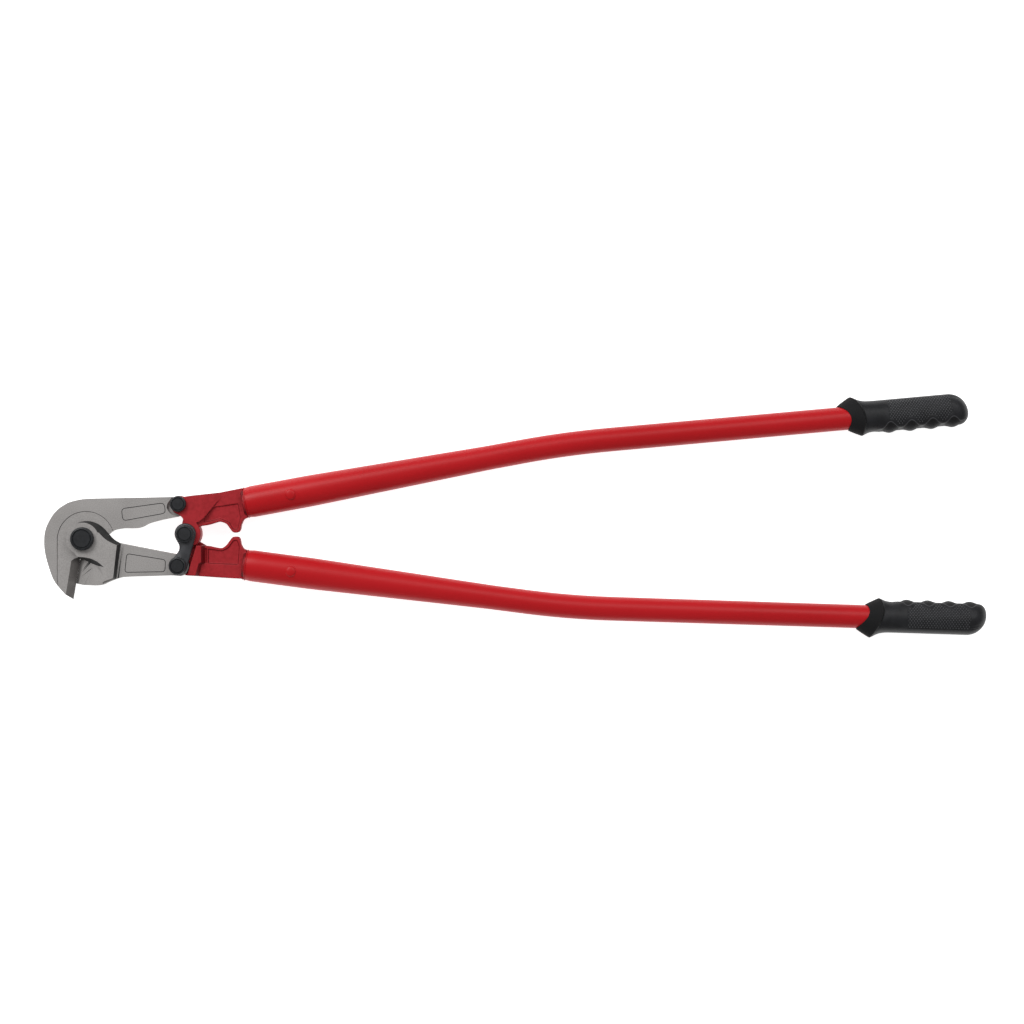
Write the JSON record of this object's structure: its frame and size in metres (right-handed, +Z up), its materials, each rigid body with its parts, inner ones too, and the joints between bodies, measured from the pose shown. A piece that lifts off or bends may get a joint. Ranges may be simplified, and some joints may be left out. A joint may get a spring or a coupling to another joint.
{
  "type": "bolt cutter",
  "caption": "Long-handled bolt cutter with a hooked jaw and a straight blade jaw, compound pivot linkage, bent red tube handles and black finger-grooved grips.",
  "frame": {"origin": "on the axis of the jaw pivot, at the flat end of its bolt, which is level with the table the tool lies on", "axes": "+X runs from the jaws to the grips, +Z is up from the table, out of the face that carries the bolt heads, and +Y is the side of the hook jaw's arm"},
  "size_m": [0.9484, 0.2456, 0.0405],
  "materials": {
    "jaw_steel": "bead-blasted tool steel",
    "black_oxide": "black oxide, satin",
    "zinc_plate": "zinc plated",
    "red_forging": "red powder coat over a forged surface",
    "red_tube": "smooth red powder coat",
    "grip_plastic": "black, knurled on both faces"
  },
  "bodies": {
    "hook_jaw_body": {"hook_jaw": "jaw_steel", "jaw_pivot_bolt": "black_oxide", "jaw_pivot_washer": "zinc_plate", "jaw_pivot_nut": "black_oxide"},
    "blade_jaw_body": {"blade_jaw": "jaw_steel"},
    "upper_handle": {"upper_handle_head": "red_forging", "hook_jaw_tail_bolt": "black_oxide", "hook_jaw_tail_washer": "zinc_plate", "hook_jaw_tail_nut": "black_oxide", "upper_tube": "red_tube", "upper_tube_rivet": "red_tube", "upper_grip": "grip_plastic"},
    "lower_handle": {"lower_handle_head": "red_forging", "link_plate": "black_oxide", "blade_jaw_tail_bolt": "black_oxide", "blade_jaw_tail_washer": "zinc_plate", "blade_jaw_tail_nut": "black_oxide", "handle_pivot_bolt": "black_oxide", "handle_pivot_washer": "zinc_plate", "handle_pivot_nut": "black_oxide", "lower_tube": "red_tube", "lower_tube_rivet": "red_tube", "lower_grip": "grip_plastic"}
  },
  "joints": [
    {"name": "upper_handle_hinge", "type": "hinge", "parent": "hook_jaw_body", "child": "upper_handle", "pos_m": [0.0952, 0.035, 0.0195], "axis": [0, 0, 1], "range_deg": [0, 40]},
    {"name": "jaw_hinge", "type": "hinge", "parent": "hook_jaw_body", "child": "blade_jaw_body", "pos_m": [0, 0, 0.0195], "axis": [0, 0, 1], "range_deg": [0, 10.4]},
    {"name": "lower_handle_hinge", "type": "hinge", "parent": "blade_jaw_body", "child": "lower_handle", "pos_m": [0.0952, -0.0272, 0.0195], "axis": [0, 0, 1], "range_deg": [-38.5, 0]}
  ],
  "couplings": [
    {"joint": "jaw_hinge", "follows": "upper_handle_hinge", "ratio": 0.255},
    {"joint": "lower_handle_hinge", "follows": "upper_handle_hinge", "ratio": -0.956}
  ]
}
